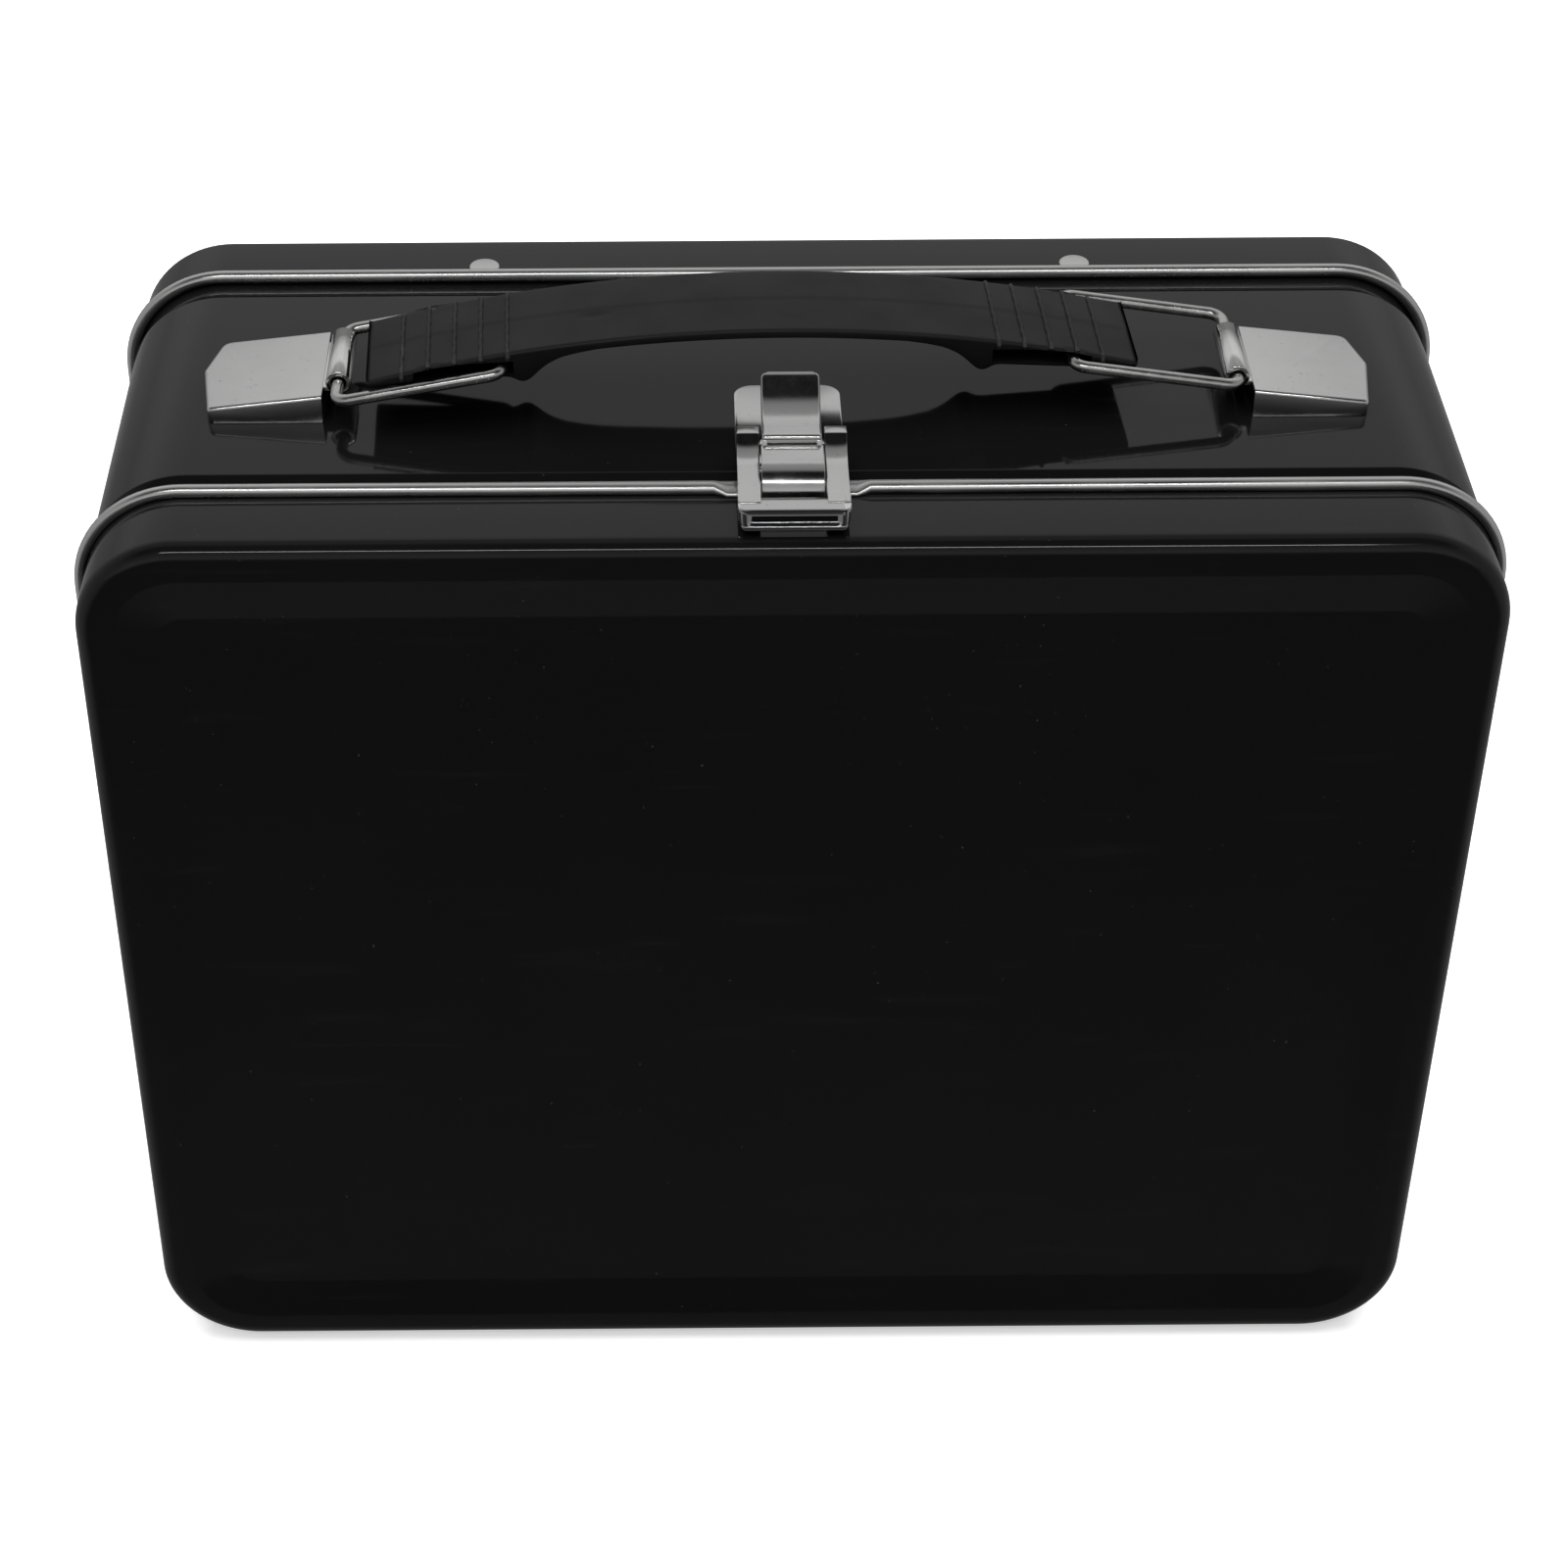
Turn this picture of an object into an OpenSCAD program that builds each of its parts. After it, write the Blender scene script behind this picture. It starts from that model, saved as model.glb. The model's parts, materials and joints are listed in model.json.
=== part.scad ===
// Tin lunch box: a sheet-metal band between two shallow pans. The front pan is the lid.
// It hinges along the bottom and is held by a press latch on the top.
// X runs across the box, -Y is the lid side, +Z is up, and the box stands on z = 0.

/* [Box] */
// Width across the pans
box_w = 220; // [200:1:240]
// Height of the pans
box_h = 171; // [150:1:190]
// Depth from the lid's face to the back face
box_d = 96.5; // [92:0.5:110]
// Radius of the four corners, seen from the front
corner_r = 16.5; // [15:0.5:20]
// Thickness of the tinplate
sheet_t = 0.4; // [0.3:0.05:0.5]

/* [Pans] */
// Distance from the middle of the box to the centre of each bead
bead_y = 33.2; // [30:0.1:36]
// Outer radius of the rolled bead
bead_r = 1.1; // [0.9:0.05:1.3]
// Radius where a pan's face meets its flange
edge_r = 3; // [2:0.25:4]
// Width of the flat border around the sunk panel
border_w = 6; // [5:0.5:8]
// Width of the slope down to the sunk panel
slope_w = 7.5; // [4:0.5:8]
// Depth of the sunk panel
panel_sink = 1.2; // [0.5:0.1:2]

/* [Band] */
// Distance from the middle of the box to the start of each necked rim
neck_y = 27.5; // [25:0.5:29]
// How far the front neck lies inside the pan's outer face
neck_inset_front = 1.0; // [0.8:0.05:1.2]
// How far the back neck lies inside the pan's outer face
neck_inset_back = 0.45; // [0.45:0.05:0.8]
// Distance from the middle of the box to the neck's free edge
rim_y = 41.5; // [38:0.5:43]

/* [Handle] */
// Middle of the handle brackets, front to back
handle_y = -2.2; // [-6:0.1:6]
// Distance of each wire loop's hinge from the middle of the box
loop_hinge_x = 71; // [66:0.5:76]
// Height of that hinge above the band
loop_hinge_h = 5.3; // [5:0.1:7]
// Diameter of the loop wire
wire_d = 1.95; // [1.6:0.05:2.2]
// Length of a loop from its hinge to its bent ends
loop_l = 26.6; // [24:0.1:30]
// Half of the distance between a loop's two arms
loop_half = 11.2; // [11.1:0.1:12]
// Width of the grip
grip_w = 19.6; // [17:0.1:20]
// Half of the grip's length
grip_half = 60.6; // [58:0.1:64]
// Height of the grip's crown above the band
crown_h = 16.2; // [15:0.1:18]
// How far the resting grip lies off centre
grip_shift = -5.9; // [-6:0.1:-4.8]
// How far the resting grip is turned, seen from above
grip_yaw = 2.1; // [0:0.1:2.1]

/* [Latch] */
// Width of the latch housing
latch_w = 17; // [16.6:0.1:18]
// Thickness of the latch sheet
latch_t = 0.8; // [0.7:0.05:0.9]
// Height of the latch's bridge above the band
bridge_h = 5; // [4.8:0.1:5.4]

/* [Hinges] */
// Distance of each hinge from the middle of the box
hinge_x = 60; // [50:1:75]
// Width of a hinge
hinge_w = 24; // [20:1:30]

/* [Hidden] */
$fn = 64;
bead_proud = 2 * bead_r - sheet_t;          // how far a bead stands out of its pan
base_z = bead_proud;                        // underside of the pans and the band
top_z = base_z + box_h;                     // top of the pans and the band
mid_z = base_z + box_h / 2;
face_d = box_d / 2 - bead_y;                // from a bead's centre to its pan's face
bead_off = bead_r - sheet_t;                // bead centre, outside the flange's face
flat_bead_h = 0.95;                         // height of the bead where the latch crosses it
flat_bead_w = 20;
flat_bead_y = [-35.5, -31.4];
rivet_r = 1.2;
hole_gap = 0.05;

hinge_axis_y = -30.9;
hinge_axis_z = 1.15;
knuckle_r = 1.1;
hinge_pin_r = 0.5;
hinge_gap = 0.06;                           // radial clearance of the lid's knuckle
leaf_t = 0.5;
leaf_rivet_dx = 7;
middle_knuckle = 8;                         // width of the lid's knuckle
knuckle_side_gap = 0.2;

pin_y = -32.4;                              // latch pin
pin_h = 3.2;
latch_pin_r = 0.75;
lever_w = 9.2;
hook_w = 9.6;
hook_r = 4.9;
hook_c = [-34.4, 1.6];                      // centre of the hook's bend, y and height
rib_h = 7.3;                                // height of the housing's rear rib
spring_turns = 6;
spring_wire_r = 0.2;
spring_mean_r = 1.15;
spring_pitch = 0.55;

barrel_r = 2.05;
barrel_l = 14;
bracket_half = 10.3;
bracket_t = 0.8;
bracket_x = [73.5, 91, 93.4, 91.7];         // inner edge, rear corner, point, front corner
bracket_point_y = 2;                        // the point lies behind the bracket's middle
bracket_h = [4.8, 2.8];                     // heights at the inner edge and at the rear corner
prong_x = 82;                               // prongs that hold the brackets on the band
prong_y = [handle_y - 6, handle_y + 6];
prong_t = 0.8;
prong_w = 5;
prong_top = 3.4;

arch_r = 247;                               // radius of the grip's crown
strap_t = 1.6;
end_underside_h = 7;
slot_x = [37.5, 52];                        // two places along the grip's side slots
slot_mid_h = [10.42, 9.09];                 // heights at which a resting loop's ends lie there
slot_bottom = [[37.5, 9.15], [44.5, 8.9], [53.2, 7.8]];
slot_top = [[53.2, 9.95], [50.5, 10.75], [44.5, 11.45], [37.5, 11.65]];
guard_start = [37.8, 8.6];                  // where the flat underside meets the finger guard
slot_depth = 5.4;
grip_y = -0.3;                              // grip's middle, behind the brackets' middle
loop_corner = 2.3;                          // bend beside the barrel
loop_end_bend = 2;
loop_tip_y = 5.2;                           // how near the loop's ends come to its middle
loop_rest = 9.5;                            // a resting loop's angle, near enough to place its ends
loop_shift = [-1.7, 1.5];                   // how far each loop lies off its barrel's middle, left and right
end_chamfer = 1.1;                          // along the lower edges of the grip's ends
rib_first = 38.4;
rib_step = 4.15;
rib_count = 5;

black = [0.045, 0.045, 0.05];
tin = [0.72, 0.73, 0.74];
nickel = [0.80, 0.80, 0.81];
vinyl = [0.05, 0.05, 0.055];

// Height of the slot's centre line at distance d from the grip's middle.
function slot_h(d) =
    slot_mid_h[0] + (slot_mid_h[1] - slot_mid_h[0]) * (d - slot_x[0]) / (slot_x[1] - slot_x[0]);
// Height of the grip's top at distance d from its middle.
function crown(d) = crown_h - arch_r + sqrt(arch_r * arch_r - d * d);
// Angle at which a loop rests when its ends lie in the slots of the shifted grip.
function rest_angle(side) =
    let (reach = loop_l * cos(loop_rest),
         d = loop_hinge_x - reach - side * grip_shift)
    asin((slot_h(d) - loop_hinge_h) / loop_l);

// ---------- shared shapes ----------

// Sweeps a profile around a rounded rectangle. The profile's x is the distance outside
// the corner's centre, and its y becomes z.
module sweep_round(w, h, r) {
    for (turn = [0, 180]) {
        rotate(turn) translate([w / 2 - r, h / 2 - r, 0]) {
            rotate_extrude(angle = 90) children();
            rotate([90, 0, 0]) linear_extrude(h - 2 * r) children();
        }
        rotate(turn + 90) translate([h / 2 - r, w / 2 - r, 0]) {
            rotate_extrude(angle = 90) children();
            rotate([90, 0, 0]) linear_extrude(w - 2 * r) children();
        }
    }
}

// Puts a shape drawn flat, with its depth along z, upright behind the box's middle.
module upright_back() {
    translate([0, 0, mid_z]) rotate([-90, 0, 0]) children();
}

// A flat-headed rivet that points up: head below z = 0, tail above the stack.
module rivet(head_r, head_t, stack) {
    translate([0, 0, -head_t]) cylinder(r = head_r, h = head_t);
    cylinder(r = rivet_r, h = stack);
    translate([0, 0, stack]) cylinder(r = rivet_r + 0.6, h = 0.6);
}

// Extrudes a side outline, given as y and height, across the width in x.
module across(w) {
    rotate([90, 0, 90]) linear_extrude(w, center = true) children();
}

module box_between(low, high) {
    translate(low) cube(high - low);
}

// ---------- band ----------

module band_profile() {
    step = 1.2;
    r = corner_r;
    f = neck_inset_front;
    b = neck_inset_back;
    t = sheet_t;
    polygon([[r - f - t, -rim_y], [r - f, -rim_y], [r - f, -neck_y - step], [r, -neck_y],
             [r, neck_y], [r - b, neck_y + step], [r - b, rim_y], [r - b - t, rim_y],
             [r - b - t, neck_y + step], [r - t, neck_y], [r - t, -neck_y], [r - f - t, -neck_y - step]]);
}

module band_ring() {
    upright_back() sweep_round(box_w, box_h, corner_r) band_profile();
    box_between([-4, -neck_y + 1, base_z + sheet_t], [4, neck_y - 1, base_z + 2 * sheet_t]);
}

module band() {
    color(black) difference() {
        band_ring();
        rivet_places_hinge("body") cylinder(r = rivet_r + hole_gap, h = 6, center = true);
        rivet_places_latch() cylinder(r = rivet_r + hole_gap, h = 6, center = true);
        rivet_places_back() cylinder(r = rivet_r + hole_gap, h = 6, center = true);
        for (s = [-1, 1], y = prong_y) translate([s * prong_x, y, top_z])
            cube([prong_t + 2 * hole_gap, prong_w + 2 * hole_gap, 4], center = true);
    }
}

// ---------- pans ----------

// Section of a pan, from its middle out to the flange and the rolled bead.
module pan_profile() {
    t = sheet_t;
    r = corner_r;
    slope_end = r - border_w - slope_w;
    slope_start = r - border_w;
    difference() {
        union() {
            polygon([[0, face_d - panel_sink], [slope_end, face_d - panel_sink], [slope_start, face_d],
                     [r - edge_r, face_d], [r - edge_r, face_d - t], [slope_start, face_d - t],
                     [slope_end, face_d - panel_sink - t], [0, face_d - panel_sink - t]]);
            intersection() {
                translate([r - edge_r, face_d - edge_r]) square(edge_r);
                translate([r - edge_r, face_d - edge_r]) difference() {
                    circle(edge_r);
                    circle(edge_r - t);
                }
            }
            translate([r - t, 0]) square([t, face_d - edge_r]);
            translate([r + bead_off, 0]) difference() {
                circle(bead_r);
                circle(bead_r - t);
                translate([-2 * bead_r, 0]) square([2 * bead_r - 0.35, 2 * bead_r]);
            }
            translate([r - t, 0]) square([t, bead_r]);
        }
    }
}

module pan_shell() {
    sweep_round(box_w, box_h, corner_r) pan_profile();
    translate([0, 0, face_d - panel_sink - sheet_t / 2])
        cube([box_w - 2 * corner_r, box_h - 2 * corner_r, sheet_t], center = true);
}

module back_pan() {
    color(black) difference() {
        translate([0, bead_y, 0]) upright_back() pan_shell();
        rivet_places_back() cylinder(r = rivet_r + hole_gap, h = 6, center = true);
    }
}

module lid_pan() {
    latch_zone = [[-flat_bead_w / 2, -bead_y - 2 * bead_r, top_z],
                  [flat_bead_w / 2, -bead_y + 2 * bead_r, top_z + 4]];
    color(black) difference() {
        union() {
            difference() {
                mirror([0, 1, 0]) translate([0, bead_y, 0]) upright_back() pan_shell();
                box_between(latch_zone[0], latch_zone[1]);
            }
            box_between([-flat_bead_w / 2, flat_bead_y[0], top_z - sheet_t],
                        [flat_bead_w / 2, flat_bead_y[1], top_z + flat_bead_h]);
        }
        for (s = [-1, 1]) box_between([s * hinge_x - hinge_w / 2 - 1, -bead_y - bead_r - 1, -1],
                                      [s * hinge_x + hinge_w / 2 + 1, -bead_y + 3, base_z]);
        rivet_places_hinge("lid") cylinder(r = rivet_r + hole_gap, h = 6, center = true);
    }
}

// ---------- rivets of the box ----------

// Places of the four rivets through the back pan's flange, heads outward.
module rivet_places_back() {
    for (s = [-1, 1]) {
        translate([s * 50, 37, top_z]) mirror([0, 0, 1]) children();
        translate([s * 50, 37, base_z]) children();
    }
}

module back_pan_rivets() {
    color(tin) rivet_places_back() rivet(2.55, 0.45, sheet_t * 2 + 0.05);
}

// ---------- bottom hinges ----------

module rivet_places_hinge(which) {
    y = which == "body" ? -23 : -40;
    for (s = [-1, 1], dx = [-leaf_rivet_dx, leaf_rivet_dx])
        translate([s * hinge_x + dx, y, base_z]) children();
}

module knuckle(x0, x1, bore_r) {
    translate([x0, hinge_axis_y, hinge_axis_z]) rotate([0, 90, 0]) difference() {
        cylinder(r = knuckle_r, h = x1 - x0);
        translate([0, 0, -1]) cylinder(r = bore_r, h = x1 - x0 + 2);
    }
}

module hinge_bore(x, bore_r) {
    translate([x, hinge_axis_y, hinge_axis_z]) rotate([0, 90, 0])
        cylinder(r = bore_r, h = hinge_w + 4, center = true);
}

module hinge_body_leaf(x) {
    half = hinge_w / 2;
    inner = middle_knuckle / 2 + knuckle_side_gap;
    color(nickel) difference() {
        union() {
            box_between([x - half, -29.4, base_z - leaf_t], [x + half, -19, base_z]);
            for (s = [[-half, -inner], [inner, half]]) {
                knuckle(x + s[0], x + s[1], hinge_pin_r);
                box_between([x + s[0], hinge_axis_y, base_z - leaf_t], [x + s[1], -29, base_z]);
            }
        }
        hinge_bore(x, hinge_pin_r);
        rivet_places_hinge("body") cylinder(r = rivet_r + hole_gap, h = 6, center = true);
    }
}

module hinge_lid_leaf(x) {
    half = hinge_w / 2;
    inner = middle_knuckle / 2;
    color(nickel) difference() {
        union() {
            box_between([x - half, -44, base_z - leaf_t], [x + half, -32.3, base_z]);
            knuckle(x - inner, x + inner, hinge_pin_r + hinge_gap);
            box_between([x - inner, -33, base_z - leaf_t], [x + inner, hinge_axis_y, base_z]);
        }
        hinge_bore(x, hinge_pin_r + hinge_gap);
        rivet_places_hinge("lid") cylinder(r = rivet_r + hole_gap, h = 6, center = true);
    }
}

module hinge_pin(x) {
    color(tin) translate([x, hinge_axis_y, hinge_axis_z]) rotate([0, 90, 0])
        cylinder(r = hinge_pin_r, h = hinge_w + 0.8, center = true);
}

module hinge_rivets(which) {
    color(tin) rivet_places_hinge(which) translate([0, 0, -leaf_t])
        rivet(2, 0.5, leaf_t + sheet_t);
}

// ---------- handle ----------

// Outline of a bracket from above, moved in by the sheet's thickness for its cavity.
module bracket_outline(inset) {
    half = bracket_half - inset;
    polygon([[bracket_x[0] - inset, -half], [bracket_x[3] - inset, -half],
             [bracket_x[2] - inset, bracket_point_y], [bracket_x[1] - inset / 2, half],
             [bracket_x[0] - inset, half]]);
}

// Side outline of a bracket: x and height.
module bracket_side(inset) {
    fall = (bracket_h[0] - bracket_h[1]) / (bracket_x[1] - bracket_x[0]);
    polygon([[bracket_x[0] - 2, -inset], [bracket_x[0] - 2, bracket_h[0] + 2 * fall - inset],
             [bracket_x[2] + 1, bracket_h[1] - 3.4 * fall - inset], [bracket_x[2] + 1, -inset]]);
}

module bracket_block(inset) {
    intersection() {
        translate([0, 0, -1]) linear_extrude(12) bracket_outline(inset);
        rotate([90, 0, 0]) linear_extrude(40, center = true) bracket_side(inset);
    }
}

// Bracket on the right, standing on the band at height 0.
module handle_bracket() {
    web_h = [3.9, 4.7];
    color(nickel) difference() {
        union() {
            difference() {
                bracket_block(0);
                bracket_block(bracket_t);
            }
            box_between([loop_hinge_x, -barrel_l / 2, web_h[0]],
                        [bracket_x[0] + 0.5, barrel_l / 2, web_h[1]]);
            translate([loop_hinge_x, 0, loop_hinge_h]) rotate([90, 0, 0])
                cylinder(r = barrel_r, h = barrel_l, center = true);
            for (y = prong_y) {
                box_between([prong_x - prong_t / 2, y - handle_y - prong_w / 2, -sheet_t - prong_t],
                            [prong_x + prong_t / 2, y - handle_y + prong_w / 2, prong_top]);
                box_between([prong_x - 5, y - handle_y - prong_w / 2, -sheet_t - prong_t],
                            [prong_x + prong_t / 2, y - handle_y + prong_w / 2, -sheet_t]);
            }
        }
        translate([loop_hinge_x, 0, loop_hinge_h]) rotate([90, 0, 0])
            cylinder(r = wire_d / 2 + 0.08, h = barrel_l + 2, center = true);
    }
}

// One quarter bend of the wire, turning from +x to +y.
module wire_bend(r) {
    translate([0, r, 0]) rotate(-90) rotate_extrude(angle = 90) translate([r, 0]) circle(d = wire_d);
}

module wire_run(from, length, direction) {
    translate(from) rotate(direction) rotate([0, 90, 0]) cylinder(d = wire_d, h = length);
}

// Half of a loop, drawn flat: along the hinge, out to the grip, and back in at its bent end.
module half_loop() {
    wire_run([0, 0, 0], loop_half - loop_corner, 90);
    translate([loop_corner, loop_half, 0]) rotate(180) wire_bend(loop_corner);
    wire_run([loop_corner, loop_half, 0], loop_l - loop_corner - loop_end_bend, 0);
    translate([loop_l - loop_end_bend, loop_half, 0]) mirror([0, 1, 0]) wire_bend(loop_end_bend);
    wire_run([loop_l, loop_half - loop_end_bend, 0], loop_half - loop_end_bend - loop_tip_y, -90);
}

// side is -1 for the left loop and 1 for the right one. The hinge leg lies in the barrel,
// and the loop is raised until its ends lie in the grip's slots.
module wire_loop(side) {
    color(tin)
        translate([side * loop_hinge_x, handle_y + loop_shift[side < 0 ? 0 : 1], top_z + loop_hinge_h])
        rotate([0, side * rest_angle(side), 0]) mirror([side > 0 ? 1 : 0, 0, 0]) {
            half_loop();
            mirror([0, 1, 0]) half_loop();
        }
}

// Space under the grip: flat ends, a rounded finger guard each side, and the arch.
module grip_underside() {
    end_x = grip_half + 1;
    guard = [guard_start, [36.9, 8.1], [36, 7.8], [35.2, 8.1], [34.4, 8.8], [33.2, 10.1], [31.8, 11.2],
             [29.8, 12.2], [27, 12.9]];
    arch = [for (d = [24:-4:0]) [d, crown(d) - strap_t]];
    right = concat([[end_x, -1], [end_x, end_underside_h]], guard, arch);
    left = [for (i = [len(right) - 2:-1:0]) [-right[i][0], right[i][1]]];
    polygon(concat(right, left));
}

module grip_side() {
    difference() {
        intersection() {
            translate([0, crown_h - arch_r]) circle(arch_r, $fn = 200);
            translate([-grip_half, 0]) square([2 * grip_half, crown_h + 1]);
        }
        grip_underside();
    }
}

module handle_grip() {
    rib = [0.7, grip_w, 0.7];
    rib_sunk = 0.2;
    chamfer_side = end_chamfer * sqrt(2);
    color(vinyl) translate([grip_shift, handle_y + grip_y, top_z]) rotate(grip_yaw) {
        difference() {
            rotate([90, 0, 0]) linear_extrude(grip_w, center = true) grip_side();
            for (turn = [0, 180], s = [-1, 1]) rotate(turn) {
                translate([0, s * (grip_w / 2 - slot_depth / 2 + 0.5), 0])
                    rotate([90, 0, 0]) linear_extrude(slot_depth + 1, center = true)
                    polygon(concat(slot_bottom, slot_top));
                translate([guard_start[0], s * grip_w / 2, guard_start[1]])
                    rotate([0, atan2(guard_start[1] - end_underside_h, grip_half + 1 - guard_start[0]), 0])
                    rotate([45, 0, 0]) cube([2 * grip_half, chamfer_side, chamfer_side], center = true);
            }
        }
        for (turn = [0, 180], i = [0:rib_count - 1]) rotate(turn)
            translate([rib_first + i * rib_step, 0, crown(rib_first + i * rib_step)])
                rotate([0, asin((rib_first + i * rib_step) / arch_r), 0])
                translate([0, 0, rib.z / 2 - rib_sunk]) cube(rib, center = true);
    }
}

// ---------- latch ----------

module rivet_places_latch() {
    for (y = [-8, -16]) translate([0, y, top_z]) children();
}

module latch_rivets() {
    color(tin) rivet_places_latch() translate([0, 0, latch_t]) mirror([0, 0, 1])
        rivet(2, 0.8, latch_t + sheet_t);
}

// Base plate from above, with rounded rear corners.
module latch_plate() {
    corner = 3;
    translate([-latch_w / 2, -26.5]) square([latch_w, 23.5 - corner]);
    translate([-latch_w / 2 + corner, -10]) square([latch_w - 2 * corner, 7]);
    for (s = [-1, 1]) translate([s * (latch_w / 2 - corner), -3 - corner]) circle(corner);
}

// Side outline of the bridge: rear wall and rib, level bridge, front wall.
module bridge_outline() {
    t = latch_t;
    b = bridge_h;
    polygon([[-25.7, 0], [-25.7, rib_h], [-28.6, rib_h], [-28.6, b], [-43.4, b], [-43.4, b - 0.3],
             [-46, b - 0.3], [-46, 1.1], [-46 + t, 1.1], [-46 + t, b - t], [-27.8, b - t],
             [-27.8, rib_h - t], [-26.5, rib_h - t], [-26.5, 0]]);
}

module latch_housing() {
    leg_in = 5;
    side_t = 0.6;
    color(nickel) translate([0, 0, top_z]) difference() {
        union() {
            linear_extrude(latch_t) latch_plate();
            difference() {
                across(latch_w) bridge_outline();
                box_between([-leg_in, -46 + latch_t, 0.9], [leg_in, -20, rib_h + 1]);
            }
            for (s = [-1, 1]) {
                translate([s * (latch_w / 2 - side_t / 2), 0, 0]) across(side_t)
                    polygon([[-26, 1.5], [-26, 4.5], [-45.6, 4.5], [-45.6, 1.5]]);
                translate([s * (leg_in + side_t / 2), 0, 0]) across(side_t)
                    polygon([[-28.2, 1.6], [-28.2, 4.5], [-38, 4.5], [-38, 3], [-35, 1.6]]);
            }
        }
        across(latch_w + 2) translate([pin_y, pin_h]) circle(latch_pin_r);
        translate([0, 0, -top_z]) rivet_places_latch()
            cylinder(r = rivet_r + hole_gap, h = 6, center = true);
        for (s = [-1, 1]) translate([s * latch_w / 2, -46, 1.1]) rotate([0, 45, 0])
            cube([1.4, 4, 1.4], center = true);
    }
}

module latch_pin() {
    color(tin) translate([0, pin_y, top_z + pin_h]) rotate([0, 90, 0])
        cylinder(r = latch_pin_r, h = latch_w, center = true);
}

// Thumb lever: two cheeks on the pin, a level top and a raised tab.
module latch_lever() {
    cheek_t = 0.8;
    tab_l = 7.2;
    tab_angle = 35;
    function tab_edge(along) = [-23.4, 7.3] + along * [cos(tab_angle), sin(tab_angle)];
    color(nickel) translate([0, 0, top_z]) difference() {
        union() {
            for (s = [-1, 1]) translate([s * (lever_w - cheek_t) / 2, 0, 0]) across(cheek_t) {
                translate([pin_y, pin_h]) circle(1.7);
                polygon([[-30, 7.2], [-24, 7.2], [-24.6, 5.8], [-30.9, 2.2], [-33.6, 2.2], [-36.6, 3.6],
                         [-36.8, 4.7], [-35.7, 5.4], [-34.4, 5.7], [-30.6, 5.7]]);
            }
            across(lever_w) {
                polygon([[-30, 6.1], [-30, 7.9], [-23.4, 7.9], [-23.2, 7.1], [-29.2, 7.1], [-29.2, 6.1]]);
                translate([-23.4, 7.1]) rotate(tab_angle) translate([-0.2, 0]) square([tab_l, 0.8]);
            }
            for (s = [-1, 1]) translate([s * (lever_w - cheek_t) / 2, 0, 0]) across(cheek_t)
                polygon([[-25, 7.5], [-23.4, 7.5], tab_edge(tab_l - 0.2), tab_edge(tab_l - 1.2) - [0, 1],
                         [-23, 5.9], [-25, 5.9]]);
        }
        across(lever_w + 2) translate([pin_y, pin_h]) circle(latch_pin_r + 0.06);
    }
}

// Hook: level top, quarter bend in front of the bead, and a lip that returns under it.
module latch_hook() {
    t = latch_t;
    color(nickel) translate([0, 0, top_z]) across(hook_w) {
        translate([hook_c[0], hook_c[1] + hook_r - t]) square([2.1, t]);
        intersection() {
            translate(hook_c) difference() {
                circle(hook_r);
                circle(hook_r - t);
            }
            translate(hook_c - [hook_r, 0]) square(hook_r);
        }
        translate([hook_c[0] - hook_r, 0.3]) square([t, hook_c[1] - 0.3]);
        translate([hook_c[0] - hook_r, 0.3]) square([3.4, t]);
    }
}

// Torsion spring: a helix around the latch pin.
module latch_spring() {
    steps = 20;
    sides = 8;
    count = spring_turns * steps;
    points = [for (i = [0:count], k = [0:sides - 1])
        let (a = i * 360 / steps, q = k * 360 / sides, r = spring_mean_r + spring_wire_r * cos(q))
        [a / 360 * spring_pitch + spring_wire_r * sin(q), r * cos(a), r * sin(a)]];
    walls = [for (i = [0:count - 1], k = [0:sides - 1])
        let (n = (k + 1) % sides, a = i * sides, b = a + sides)
        [a + k, a + n, b + n, b + k]];
    ends = [[for (k = [sides - 1:-1:0]) k], [for (k = [0:sides - 1]) count * sides + k]];
    color(tin) translate([-spring_turns * spring_pitch / 2, pin_y, top_z + pin_h])
        polyhedron(points, concat(walls, ends));
}

// ---------- what is drawn ----------

band();
back_pan();
back_pan_rivets();
lid_pan();
hinge_body_leaf(-hinge_x);  // hinge_body_leaf_left
hinge_body_leaf(hinge_x);  // hinge_body_leaf_right
hinge_lid_leaf(-hinge_x);  // hinge_lid_leaf_left
hinge_lid_leaf(hinge_x);  // hinge_lid_leaf_right
hinge_pin(-hinge_x);  // hinge_pin_left
hinge_pin(hinge_x);  // hinge_pin_right
hinge_rivets("body");  // hinge_body_rivets
hinge_rivets("lid");  // hinge_lid_rivets
translate([0, handle_y, top_z]) mirror([1, 0, 0]) handle_bracket();  // handle_bracket_left
translate([0, handle_y, top_z]) handle_bracket();  // handle_bracket_right
wire_loop(-1);  // wire_loop_left
wire_loop(1);  // wire_loop_right
handle_grip();
latch_housing();
latch_rivets();
latch_pin();
latch_spring();
latch_lever();
latch_hook();
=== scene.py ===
"""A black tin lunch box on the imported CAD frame, with its studio and camera."""
import json
import math

import bmesh
import bpy
from mathutils import Matrix, Vector


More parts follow.
